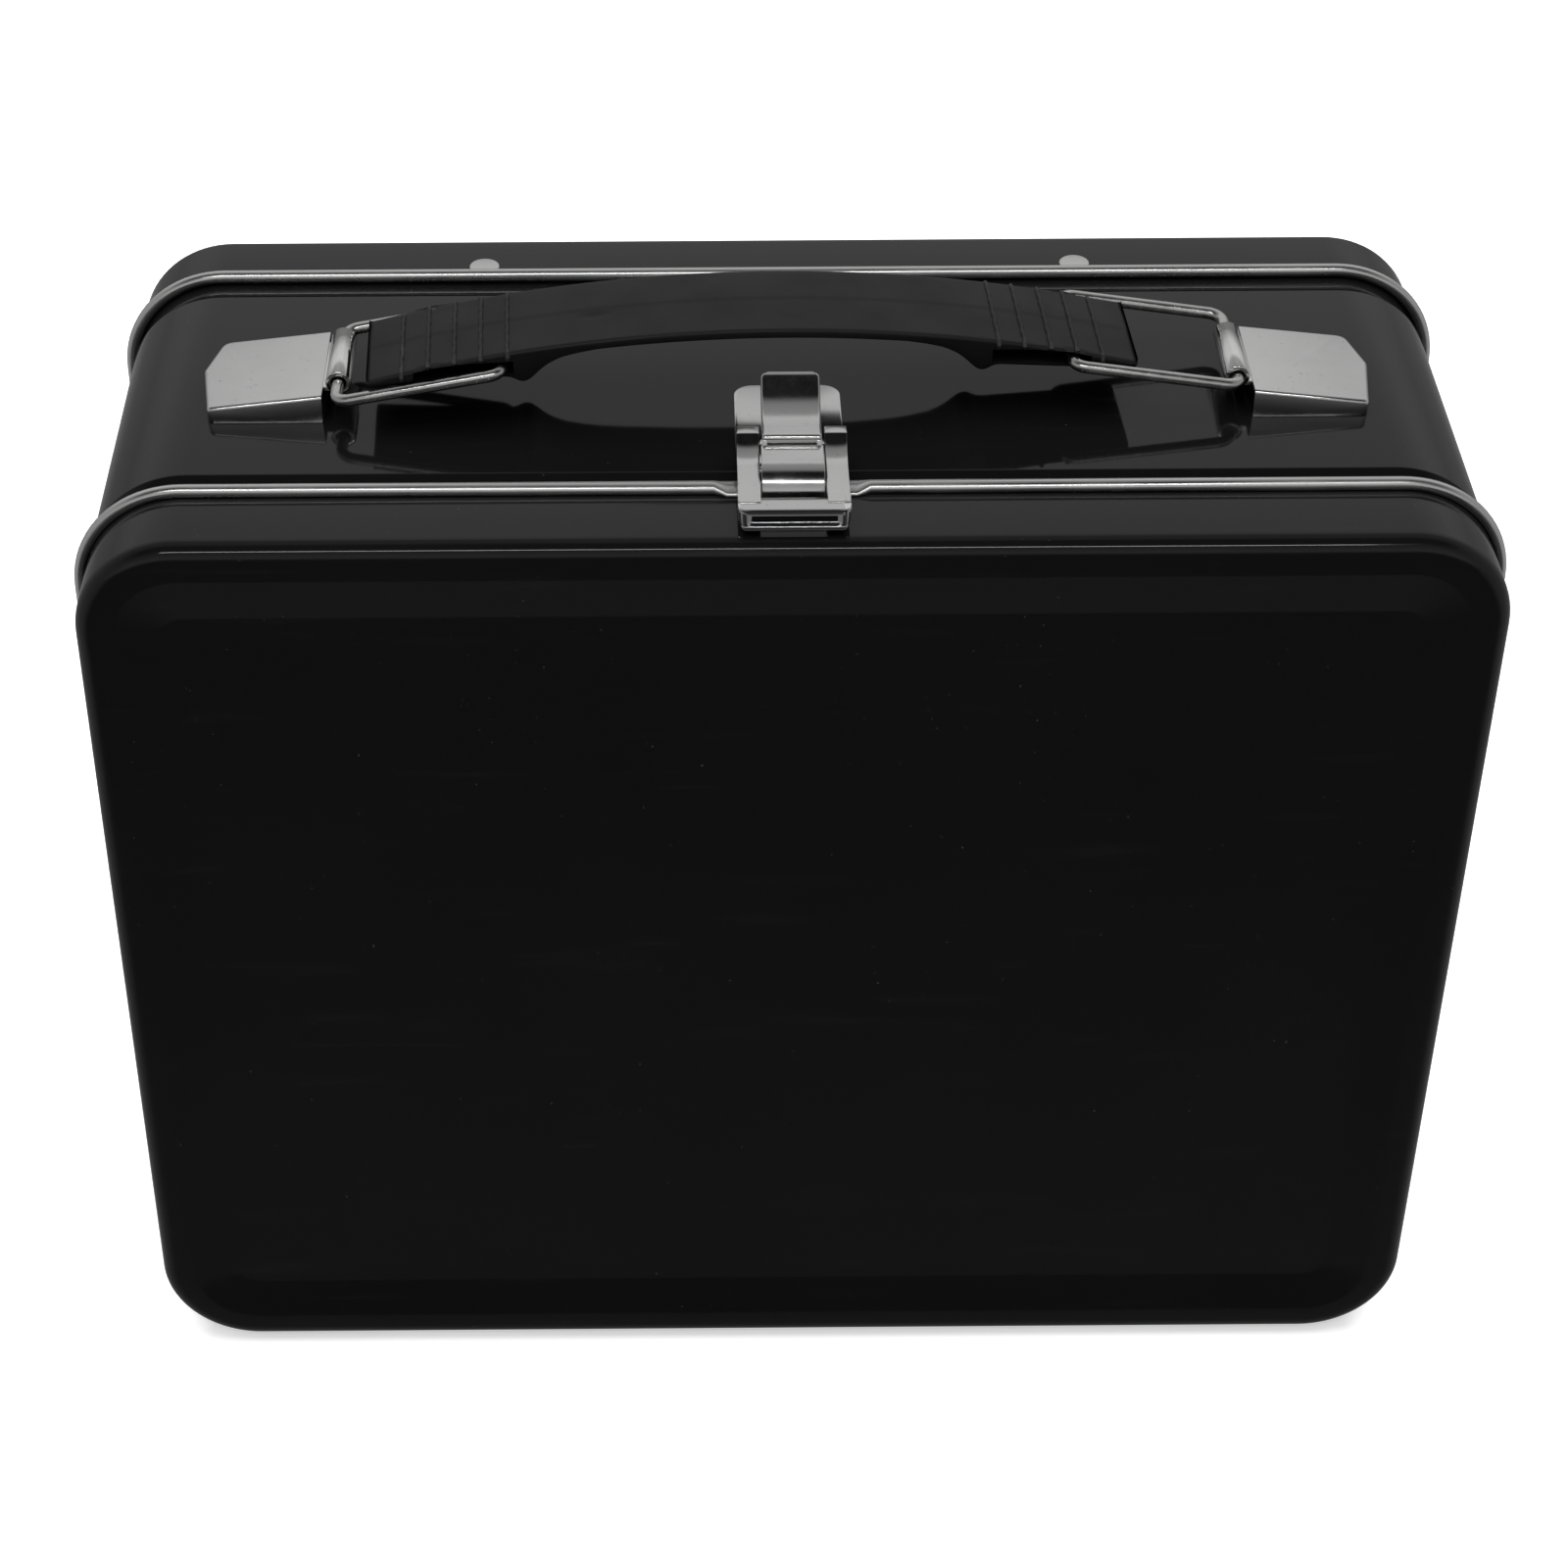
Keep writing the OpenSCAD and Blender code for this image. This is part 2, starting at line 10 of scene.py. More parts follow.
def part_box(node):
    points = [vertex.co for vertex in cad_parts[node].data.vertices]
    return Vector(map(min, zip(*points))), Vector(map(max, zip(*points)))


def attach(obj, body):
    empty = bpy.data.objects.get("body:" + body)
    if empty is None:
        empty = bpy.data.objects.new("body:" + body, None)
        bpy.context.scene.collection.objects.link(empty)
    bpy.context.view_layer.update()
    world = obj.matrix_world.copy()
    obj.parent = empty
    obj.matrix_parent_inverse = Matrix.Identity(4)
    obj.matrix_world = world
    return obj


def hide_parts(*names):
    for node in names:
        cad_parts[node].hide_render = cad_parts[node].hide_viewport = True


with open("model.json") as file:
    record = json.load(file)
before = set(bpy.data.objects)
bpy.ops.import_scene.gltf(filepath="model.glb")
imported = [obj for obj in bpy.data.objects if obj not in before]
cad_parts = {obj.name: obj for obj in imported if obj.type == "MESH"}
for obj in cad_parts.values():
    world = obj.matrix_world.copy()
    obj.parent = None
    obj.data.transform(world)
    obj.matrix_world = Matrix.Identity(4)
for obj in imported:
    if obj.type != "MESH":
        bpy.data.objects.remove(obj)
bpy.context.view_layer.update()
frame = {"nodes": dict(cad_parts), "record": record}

MM = 0.001

# ---------- sizes, in millimetres, worked out from the frame ----------


def node_box(name):
    """The lowest and highest corners of a CAD node at rest, in millimetres."""
    low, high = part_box(name)
    return low / MM, high / MM


band_low, band_high = node_box("band")
lid_high = node_box("lid_pan")[1]
back_high = node_box("back_pan")[1]
BOX_W = band_high.x - band_low.x
BOX_H = band_high.z - band_low.z
BASE_Z = band_low.z
TOP_Z = band_high.z
MID_Z = (BASE_Z + TOP_Z) / 2
FACE_Y = back_high.y                    # the back pan's face; the lid's face is at -FACE_Y
SHEET = 0.4
CORNER_R = 16.5
BEAD_R = (lid_high.x - band_high.x + SHEET) / 2
BEAD_Y = 33.2                           # centre plane of each bead
BEAD_OFF = BEAD_R - SHEET               # bead centre, outside the flange's face
PAN_D = FACE_Y - BEAD_Y                 # from a bead's centre plane to its pan's face
EDGE_R = 3.0
BORDER_W = 6.0
SLOPE_W = 7.5
PANEL_SINK = 1.2
FLAT_BEAD_HALF = 10.0                   # half of the bead's flattened stretch under the latch
HINGE_X = 60.0
HINGE_CUT_HALF = 13.0                   # half of the bead's gap at each hinge

LOOP_HINGE_X = 71.0
LOOP_HINGE_Z = TOP_Z + 5.3
LOOP_L = 26.6                           # from a loop's hinge to its bent ends
LOOP_HALF = 11.2
LOOP_TIP_Y = 5.2
LOOP_Y = {-1: -3.9, 1: -0.7}            # middle of the left and of the right loop
LOOP_REST_DEG = {-1: 10.82, 1: 8.46}
WIRE_R = 0.975

GRIP_AT = (-5.9, -2.5, TOP_Z)
GRIP_YAW_DEG = 2.1
GRIP_HALF_L = 60.6
GRIP_HALF_W = 9.8
CROWN_H = 16.2
ARCH_R = 247.0
STRAP_T = 1.6
UNDERSIDE = [(24.0, 13.43), (27.0, 12.9), (29.8, 12.2), (31.8, 11.2), (33.2, 10.1), (34.4, 8.8), (35.2, 8.1),
             (36.0, 7.8), (36.9, 8.1), (37.8, 8.6), (60.6, 7.07)]
SLOT_BOTTOM = [(37.5, 9.15), (44.5, 8.9), (53.2, 7.8)]
SLOT_TOP = [(37.5, 11.65), (44.5, 11.45), (50.5, 10.75), (53.2, 9.95)]
SLOT_DEPTH = 5.4
RIB_X = [38.4 + 4.15 * i for i in range(5)]     # ribs at each end, from the middle


# ---------- mesh helpers ----------


def linked(name, data):
    """A new object of the scene."""
    obj = bpy.data.objects.new(name, data)
    bpy.context.scene.collection.objects.link(obj)
    return obj


def as_object(name, bm, scale=MM):
    """Turns a bmesh into an object, scaled to metres."""
    bmesh.ops.scale(bm, vec=(scale, scale, scale), verts=bm.verts)
    mesh = bpy.data.meshes.new(name)
    bm.to_mesh(mesh)
    bm.free()
    return linked(name, mesh)


def shade(obj, sharp_deg):
    """Smooth shading, with sharp edges from sharp_deg up."""
    obj.data.shade_smooth()
    obj.data.set_sharp_from_angle(angle=math.radians(sharp_deg))


def finish_mesh(name, bm, sharp_deg=40):
    """Closes a bmesh in millimetres and turns it into an object in metres, smooth up to sharp_deg."""
    bmesh.ops.remove_doubles(bm, verts=bm.verts, dist=0.0005)
    bmesh.ops.recalc_face_normals(bm, faces=bm.faces)
    obj = as_object(name, bm)
    shade(obj, sharp_deg)
    return obj


def bridge_rings(bm, rings):
    """Joins closed rings of points, one after another."""
    for ring, following in zip(rings, rings[1:]):
        for k in range(len(ring)):
            n = (k + 1) % len(ring)
            bm.faces.new((ring[k], ring[n], following[n], following[k]))


def bridge_rows(bm, rows):
    """Joins open rows of points, one after another."""
    for row, following in zip(rows, rows[1:]):
        for k in range(len(row) - 1):
            bm.faces.new((row[k], row[k + 1], following[k + 1], following[k]))


def arc(cx, cy, r, start, end, steps):
    """Points along an arc, angles in degrees, both ends included."""
    return [(cx + r * math.cos(math.radians(start + (end - start) * i / steps)),
             cy + r * math.sin(math.radians(start + (end - start) * i / steps)))
            for i in range(steps + 1)]


def rectangle(x_low, x_high, y_low, y_high):
    """An outline with four corners."""
    return [(x_low, y_low), (x_high, y_low), (x_high, y_high), (x_low, y_high)]


def blended(points, radii, steps=5):
    """An open outline with its inner corners rounded to the given radii; nearly straight ones stay."""
    straight = math.radians(89.9)
    result = [points[0]]
    for before, here, after, r in zip(points, points[1:], points[2:], radii):
        a, b, c = Vector(before), Vector(here), Vector(after)
        u, v = (a - b).normalized(), (c - b).normalized()
        half = math.acos(max(-1, min(1, u.dot(v)))) / 2
        if r <= 0 or half > straight:
            result.append(here)
            continue
        reach = r / math.tan(half)
        p, q = b + u * reach, b + v * reach
        for i in range(steps + 1):
            t = i / steps
            mid = p * (1 - t) ** 2 + b * 2 * t * (1 - t) + q * t ** 2
            result.append(tuple(mid))
    result.append(points[-1])
    return result


def resampled(path, step):
    """The same line with no stretch longer than step."""
    result = [path[0]]
    for p, q in zip(path, path[1:]):
        count = max(1, math.ceil(math.dist(p, q) / step))
        result += [(p[0] + (q[0] - p[0]) * i / count, p[1] + (q[1] - p[1]) * i / count)
                   for i in range(1, count + 1)]
    return result


# ---------- the pans and the band: profiles swept around the box ----------


def perimeter(extra_top=(), extra_bottom=()):
    """Stations around the box: corner centre x and z, outward angle and a place for the bead's form."""
    corner_steps = 20
    half_w, half_h = BOX_W / 2 - CORNER_R, BOX_H / 2 - CORNER_R
    stations = []
    for quarter, (sx, sz) in enumerate([(1, 1), (-1, 1), (-1, -1), (1, -1)]):
        for i in range(corner_steps + 1):
            angle = math.radians(90 * quarter + 90 * i / corner_steps)
            stations.append((sx * half_w, sz * half_h, angle, None))
        if quarter == 0:
            stations += [(x, half_h, math.pi / 2, form) for x, form in extra_top]
        if quarter == 2:
            stations += [(x, -half_h, 3 * math.pi / 2, form) for x, form in extra_bottom]
    return stations


def sweep(bm, stations, profile, place):
    """Joins one ring of points per station.

    profile(form) gives the lacquered part of the section and then its bare part, and
    place(x, z, depth) gives a point in the box.
    """
    rings = []
    for cx, cz, angle, form in stations:
        lacquered, bare = profile(form)
        ring = []
        for out, depth in lacquered + bare:
            x = cx + out * math.cos(angle)
            z = MID_Z + cz + out * math.sin(angle)
            ring.append(bm.verts.new(place(x, z, depth)))
        rings.append(ring)
    for ring, following in zip(rings, rings[1:] + rings[:1]):
        for j in range(len(ring) - 1):
            quad = bm.faces.new((ring[j], following[j], following[j + 1], ring[j + 1]))
            quad.material_index = int(j >= len(lacquered) - 1)
    return rings


BEAD_FORMS = {
    None: (BEAD_OFF, 0.0, BEAD_R, BEAD_R),          # centre out, centre depth, radius out, radius deep
    "flat": (0.275, -0.25, 0.675, 2.05),
    "cut": (-SHEET / 2, 0.0, SHEET / 2, 0.4),
}


def bead(form):
    """The rolled bead: its hidden inner side, then its bright outer side."""
    start_deg, end_deg, step_deg, least = 180, 480, 15, 0.02
    off, deep, r_out, r_deep = BEAD_FORMS[form]
    thin_out, thin_deep = max(r_out - SHEET, least), max(r_deep - SHEET, least)
    turn = [math.radians(a) for a in range(start_deg, end_deg + 1, step_deg)]
    inner = [(CORNER_R + off + thin_out * math.cos(a), deep + thin_deep * math.sin(a)) for a in turn]
    outer = [(CORNER_R + off + r_out * math.cos(a), deep + r_deep * math.sin(a)) for a in turn]
    return inner, outer[::-1]


def pan_profile(form):
    """Section of a pan from the middle of its face out to the bead and back along the inside."""
    r, flange_end = CORNER_R, 3.0
    start, end = r - BORDER_W, r - BORDER_W - SLOPE_W
    inner_bead, outer_bead = bead(form)

    def face(depth, edge):
        line = blended([(0, depth - PANEL_SINK), (end, depth - PANEL_SINK), (start, depth),
                        (r - EDGE_R, depth)], [3.0, 2.5])
        return line + arc(r - EDGE_R, PAN_D - EDGE_R, edge, 90, 0, 10)[1:]

    outside = face(PAN_D, EDGE_R) + [(r, flange_end)] + inner_bead
    inside = face(PAN_D - SHEET, EDGE_R - SHEET) + [(r - SHEET, flange_end)]
    return outside, outer_bead + inside[::-1]


def pan(name, side, stations):
    """A stamped pan, lacquered outside and bare inside. side is 1 for the back pan and -1 for the lid."""
    def place(x, z, depth):
        return (x, side * (BEAD_Y + depth), z)

    bm = bmesh.new()
    rings = sweep(bm, stations, pan_profile, place)
    for material_index, end_of_profile in enumerate((0, -1)):
        middle = bm.faces.new([ring[end_of_profile] for ring in rings])
        middle.material_index = material_index
    return finish_mesh(name, bm)


def band_profile(_form):
    """Closed section of the band: outside from front to back, then inside back to the start."""
    r, neck, step, rim = CORNER_R, 27.5, 1.2, 41.5
    front, back = 1.0, 0.45
    outside = blended([(r - front, -rim), (r - front, -neck - step), (r, -neck), (r, neck),
                       (r - back, neck + step), (r - back, rim)], [0.5, 0.5, 0.4, 0.4])
    inside = [(out - SHEET, depth) for out, depth in outside]
    return outside, inside[::-1] + outside[:1]


def band():
    """The band, with the lap of its seam inside at the bottom."""
    def place(x, z, depth):
        return (x, depth, z)

    bm = bmesh.new()
    sweep(bm, perimeter(), band_profile, place)
    shell = finish_mesh("shell", bm, sharp_deg=50)
    lap_half_w, lap_half_l, lap_edge, inside_z = 4.0, 26.5, 0.1, BASE_Z + SHEET
    outline = rectangle(-lap_half_w, lap_half_w, -lap_half_l, lap_half_l)
    lap = block("lap", outline, inside_z, inside_z + SHEET, from_above, lap_edge)
    for polygon in lap.data.polygons:
        polygon.material_index = 1
    return joined("band_shell", [shell, lap])


def lid_stations():
    """Stations around the lid: its bead is flat under the latch and cut away at the hinges."""
    half, blend_w, cut_step = FLAT_BEAD_HALF, 2.0, 0.01
    top = [(half + blend_w, None), (half, "flat"), (-half, "flat"), (-half - blend_w, None)]
    bottom = []
    for x in (-HINGE_X, HINGE_X):
        bottom += [(x - HINGE_CUT_HALF - cut_step, None), (x - HINGE_CUT_HALF, "cut"),
                   (x + HINGE_CUT_HALF, "cut"), (x + HINGE_CUT_HALF + cut_step, None)]
    return perimeter(top, bottom)


# ---------- the grip and its wire loops ----------


def tube(bm, path, radii, sides=20):
    """A round bar along the path, with flat ends and one radius per point."""
    path = [Vector(p) for p in path]
    turns = [2 * math.pi * k / sides for k in range(sides)]
    across = (path[1] - path[0]).orthogonal()
    rings = []
    for i, point in enumerate(path):
        along = (path[min(i + 1, len(path) - 1)] - path[max(i - 1, 0)]).normalized()
        across = (across - along * across.dot(along)).normalized()
        other = along.cross(across)
        rings.append([bm.verts.new(point + radii[i] * (math.cos(a) * across + math.sin(a) * other))
                      for a in turns])
    bridge_rings(bm, rings)
    bm.faces.new(rings[0])
    bm.faces.new(rings[-1])


DOME = 0.8                              # height of a bar's domed end, in its radius


def rounded_bar(bm, path, radius, sides=20):
    """A bar whose two ends are domed."""
    path = [Vector(p) for p in path]
    dome = [math.radians(a) for a in (80, 55, 30)]
    start, end = (path[0] - path[1]).normalized(), (path[-1] - path[-2]).normalized()
    before = [path[0] + start * radius * DOME * math.sin(a) for a in dome]
    after = [path[-1] + end * radius * DOME * math.sin(a) for a in dome[::-1]]
    swelling = [radius * math.cos(a) for a in dome]
    tube(bm, before + path + after, swelling + [radius] * len(path) + swelling[::-1], sides)


def wire_loop(name, side):
    """A loop: its hinge leg in the bracket's barrel, two arms, and ends bent into the grip's slots."""
    corner, end_bend, sides = 2.3, 2.0, 28
    half = [(0, 0)] + arc(corner, LOOP_HALF - corner, corner, 180, 90, 8)
    half += arc(LOOP_L - end_bend, LOOP_HALF - end_bend, end_bend, 90, 0, 8)
    half.append((LOOP_L, LOOP_TIP_Y + DOME * WIRE_R))
    flat = [(u, -v) for u, v in half[:0:-1]] + half
    rest = math.radians(LOOP_REST_DEG[side])
    path = [(side * (LOOP_HINGE_X - u * math.cos(rest)), LOOP_Y[side] + v, LOOP_HINGE_Z + u * math.sin(rest))
            for u, v in flat]
    bm = bmesh.new()
    rounded_bar(bm, path, WIRE_R, sides)
    return finish_mesh(name, bm, sharp_deg=60)


def along_line(points, x):
    """Height of a line of points at x, with its ends carried on level."""
    for (x0, z0), (x1, z1) in zip(points, points[1:]):
        if x <= x1:
            return z0 + (z1 - z0) * max(0, x - x0) / (x1 - x0)
    return points[-1][1]


def crown(x):
    """Height of the grip's top at x."""
    return CROWN_H - ARCH_R + math.sqrt(ARCH_R ** 2 - x ** 2)


def underside(x):
    """Underside of the grip: the strap's arch, a rounded finger guard and a flat end."""
    def sharp(at):
        return crown(at) - STRAP_T if at < UNDERSIDE[0][0] else along_line(UNDERSIDE, at)
    spread = (-0.5, -0.25, 0, 0.25, 0.5)
    return sum(sharp(abs(x) + d) for d in spread) / len(spread)


def crown_relief(x, y):
    """Small forms of the moulded top: a crease along it, a fall to the rear, and a dent."""
    ridge_y, fall, fall_power, step, step_w = 0.5, 0.35, 1.6, 0.09, 0.25
    dent_x, dent_y, dent_l, dent_w, dent_depth = -24.5, -1.6, 1.7, 0.8, 0.28
    if y > ridge_y:
        relief = -fall * ((y - ridge_y) / (GRIP_HALF_W - ridge_y)) ** fall_power
    else:
        relief = -step * (1 - math.exp((y - ridge_y) / step_w))
    return relief - dent_depth * math.exp(-((x - dent_x) / dent_l) ** 2 - ((y - dent_y) / dent_w) ** 2)


LOWER_EDGE = [(30.0, 0.3), (37.0, 0.5), (39.0, 1.1)]     # radius of the grip's lower edge, by x


def grip_section(x, inset, slotted):
    """Closed section of the grip at x, as y and height, drawn in by inset."""
    half, top, bottom = GRIP_HALF_W - inset, crown(x) - inset, underside(x) + inset
    upper_r, rear_drop, front_lift, least, crown_steps = 0.62, 0.35, 0.26, 0.01, 44
    lower_r = along_line(LOWER_EDGE, abs(x))
    if slotted:
        low, high, inner = along_line(SLOT_BOTTOM, abs(x)), along_line(SLOT_TOP, abs(x)), half - SLOT_DEPTH
        turn = math.degrees(math.asin(min(0, (low - bottom) / lower_r - 1)))
    else:
        low = high = (bottom + lower_r + top - upper_r) / 2
        inner = half
        turn = 0
    right = arc(half - lower_r, bottom + lower_r, lower_r, -90, turn, 4)
    right += [(right[-1][0], low), (inner, low), (inner, high), (half, high)]
    edge = arc(half - upper_r, top - upper_r, upper_r, 0, 90, 5)
    right += [(y, max(z - rear_drop, high)) for y, z in edge]
    left = [(-y, z if z < high + least else z + front_lift) for y, z in right[::-1]]
    reach = half - upper_r
    across = [reach - 2 * reach * i / crown_steps for i in range(1, crown_steps)]
    return right + [(y, top + crown_relief(x, y)) for y in across] + left


def grip_stations():
    """Places along the grip: x, how far its section is drawn in, and whether it is slotted."""
    low, high = SLOT_BOTTOM[0][0], SLOT_BOTTOM[-1][0]
    guard_x, coarse, fine, end_step, slot_steps = 32.0, 0.8, 0.4, 0.7, 24
    end_edge = [(0.6, 0), (0.28, 0.08), (0.08, 0.28), (0, 0.6)]     # from the end, and drawn in
    half = [(coarse * i, 0, False) for i in range(round(guard_x / coarse))]
    half += [(guard_x + fine * i, 0, False) for i in range(math.ceil((low - guard_x) / fine))]
    half += [(low, 0, False), (low, 0, True)]
    half += [(low + (high - low) * i / slot_steps, 0, True) for i in range(1, slot_steps)]
    half += [(high, 0, True), (high, 0, False)]
    end_steps = math.ceil((GRIP_HALF_L - end_edge[0][0] - high) / end_step)
    half += [(high + end_step * i, 0, False) for i in range(1, end_steps)]
    half += [(GRIP_HALF_L - back, inset, False) for back, inset in end_edge]
    return [(-x, inset, slotted) for x, inset, slotted in half[:0:-1]] + half


def rib(bm, x, number):
    """A thin moulded rib over the crown, a little uneven, with a nub at its front end."""
    edge_w, full_drop, clearance, rear_fall, steps, sides = 0.55, 1.5, 0.05, 0.3, 22, 12
    proud, bar_r, uneven = 0.03, 0.34, 0.05
    nub_radii, tail_radii = [0.25, 0.42, 0.4], [0.25, 0.15]
    reach = GRIP_HALF_W - edge_w
    over_slot = crown(x) - along_line(SLOT_TOP, abs(x)) - clearance
    drop = min(full_drop, over_slot) if abs(x) < SLOT_TOP[-1][0] else full_drop
    front = [(-GRIP_HALF_W + 0.1, -drop), (-GRIP_HALF_W + 0.02, -0.6 * drop), (-reach - 0.15, -0.16 * drop)]
    rear = [(-y, z - rear_fall) for y, z in front[::-1]]
    ys = [-reach + 2 * reach * i / steps for i in range(1, steps)]
    path, radii = [], []
    for y, z in front + [(y, crown_relief(x, y)) for y in ys] + rear:
        path.append((x + uneven * math.sin(1.7 * y + 2.3 * number), y, crown(x) + z + proud))
        radii.append(bar_r + uneven * math.sin(2.9 * y + number))
    radii[:len(nub_radii)] = nub_radii
    radii[-len(tail_radii):] = tail_radii
    tube(bm, path, radii, sides)


def grip():
    """The moulded grip with its ribs, turned a little on the box as it lies."""
    bm = bmesh.new()
    rings = [[bm.verts.new((x, y, z)) for y, z in grip_section(x, inset, slotted)]
             for x, inset, slotted in grip_stations()]
    bridge_rings(bm, rings)
    bm.faces.new(rings[0])
    bm.faces.new(rings[-1])
    bmesh.ops.dissolve_degenerate(bm, dist=0.0005, edges=bm.edges)
    for number, x in enumerate(RIB_X + [-x for x in RIB_X]):
        rib(bm, x, number)
    place = Matrix.Translation(GRIP_AT) @ Matrix.Rotation(math.radians(GRIP_YAW_DEG), 4, "Z")
    bmesh.ops.transform(bm, matrix=place, verts=bm.verts)
    return finish_mesh("grip_moulding", bm, sharp_deg=38)


# ---------- sheet metal: brackets and latch ----------


def worked(obj, bevel, angle=50, segments=2, sheet=0.0, sharp_deg=35):
    """Gives a sheet its thickness inwards, rounds its edges and bakes the result."""
    if sheet:
        thick = obj.modifiers.new("thick", "SOLIDIFY")
        thick.thickness = sheet * MM
        thick.offset = -1
    rounding = obj.modifiers.new("rounding", "BEVEL")
    rounding.width = bevel * MM
    rounding.segments = segments
    rounding.limit_method = "ANGLE"
    rounding.angle_limit = math.radians(angle)
    rounding.use_clamp_overlap = True
    depsgraph = bpy.context.evaluated_depsgraph_get()
    mesh = bpy.data.meshes.new_from_object(obj.evaluated_get(depsgraph))
    obj.modifiers.clear()
    obj.data = mesh
    shade(obj, sharp_deg)
    return obj


def refined(node, name, bevel, angle=25):
    """A copy of a CAD node with its flats joined and its edges rounded."""
    bm = bmesh.new()
    bm.from_mesh(frame["nodes"][node].data)
    bmesh.ops.scale(bm, vec=(1 / MM, 1 / MM, 1 / MM), verts=bm.verts)
    bmesh.ops.remove_doubles(bm, verts=bm.verts, dist=0.001)
    bmesh.ops.dissolve_limit(bm, angle_limit=math.radians(0.5), verts=bm.verts, edges=bm.edges)
    return worked(finish_mesh(name, bm, sharp_deg=180), bevel, angle, 3)


def joined(name, pieces):
    """One object from several, in the order given."""
    bm = bmesh.new()
    for piece in pieces:
        bm.from_mesh(piece.data)
        bpy.data.objects.remove(piece)
    return as_object(name, bm, 1)


def grid(name, rows, sheet, bevel=0.1):
    """A sheet through rows of points, thickened away from its outer side."""
    bm = bmesh.new()
    bridge_rows(bm, [[bm.verts.new(p) for p in row] for row in rows])
    middle = Vector(rows[len(rows) // 2][len(rows[0]) // 2])
    centre_face = min(bm.faces, key=lambda f: (f.calc_center_median() - middle).length)
    centre_face.normal_update()
    if centre_face.normal.z < centre_face.normal.y:
        bmesh.ops.reverse_faces(bm, faces=bm.faces)
    return worked(as_object(name, bm), bevel, sheet=sheet)


def block(name, outline, low, high, place, bevel=0.15):
    """A flat piece with rounded edges: an outline between two levels. place(a, b, level) gives a point."""
    bm = bmesh.new()
    bottom = [bm.verts.new(place(a, b, low)) for a, b in outline]
    top = [bm.verts.new(place(a, b, high)) for a, b in outline]
    bm.faces.new(bottom)
    bm.faces.new(top)
    bridge_rings(bm, [bottom, top])
    return worked(finish_mesh(name, bm, sharp_deg=180), bevel)


def from_above(a, b, level):
    """Places an outline of x and y at a height."""
    return (a, b, level)


def from_side(a, b, level):
    """Places an outline of y and height at an x."""
    return (level, a, b)


def folded(name, path, half_w, skirt, round_r, sheet, end_round=0.0, plain_start=0.0):
    """A pressed strip along a side profile of y and height, with rounded edges and skirts at its sides.

    end_round rounds the corners of its far end, and plain_start is a first stretch without skirts.
    """
    step, quarter_turn = 0.3, (0, 22.5, 45, 67.5, 90)
    path = resampled(path, step)
    turn = [math.radians(a) for a in quarter_turn]
    rounded = [(half_w - round_r * (1 - math.sin(a)), round_r * (1 - math.cos(a))) for a in turn]
    right = rounded + [(half_w, skirt)]
    left = [(-x, depth) for x, depth in right[::-1]]
    section = left + right
    length = [0.0]
    for p, q in zip(path, path[1:]):
        length.append(length[-1] + math.dist(p, q))
    rows = []
    for i, point in enumerate(path):
        before, after = path[max(i - 1, 0)], path[min(i + 1, len(path) - 1)]
        along = (Vector(after) - Vector(before)).normalized()
        outward = Vector((-along.y, along.x))
        into_end = max(0, 1 - (length[-1] - length[i]) / end_round) if end_round else 0
        full = math.sqrt(1 - into_end ** 2)
        grown = min(1, max(0, length[i] - plain_start))
        narrow = end_round * (1 - full)
        deepest = round_r + (skirt - round_r) * full * grown
        row = []
        for x, depth in section:
            y, z = Vector(point) - outward * min(depth, deepest)
            row.append((x * (1 - narrow / half_w), y, TOP_Z + z))
        rows.append(row)
    return grid(name, rows, sheet)


# Latch, as y and height above the band.
LATCH_HALF_W = 8.5
LEG_IN = 5.0
BRIDGE_H = 5.0
RIB_H = 7.3
LATCH_T = 0.8
LEVER_HALF_W = 4.6


def latch_base():
    """The plate that is riveted to the band, with two rounded corners at its rear."""
    corner, rear, front, edge_r = 3.0, -3.0, -26.5, 0.3
    right = arc(LATCH_HALF_W - corner, rear - corner, corner, 0, 90, 8)
    outline = [(LATCH_HALF_W, front)] + right + [(-x, y) for x, y in right[::-1]] + [(-LATCH_HALF_W, front)]
    return block("base", outline, TOP_Z, TOP_Z + LATCH_T, from_above, edge_r)


def latch_leg(side):
    """One leg of the bridge: rear wall, rib and level top."""
    edge_r = 0.4
    outline = blended([(-26.0, 0.5), (-25.7, 0.5), (-25.7, RIB_H), (-28.0, RIB_H), (-31.0, BRIDGE_H),
                       (-44.0, BRIDGE_H), (-44.0, 1.6), (-27.0, 1.6), (-27.0, 0.5)],
                      [0.0, 0.8, 0.5, 8.0, 0.4, 0.3, 0.3], 10)
    outline = [(y, TOP_Z + z) for y, z in outline]
    inner, outer = side * LEG_IN, side * LATCH_HALF_W
    return block("leg", outline, inner, outer, from_side, edge_r)


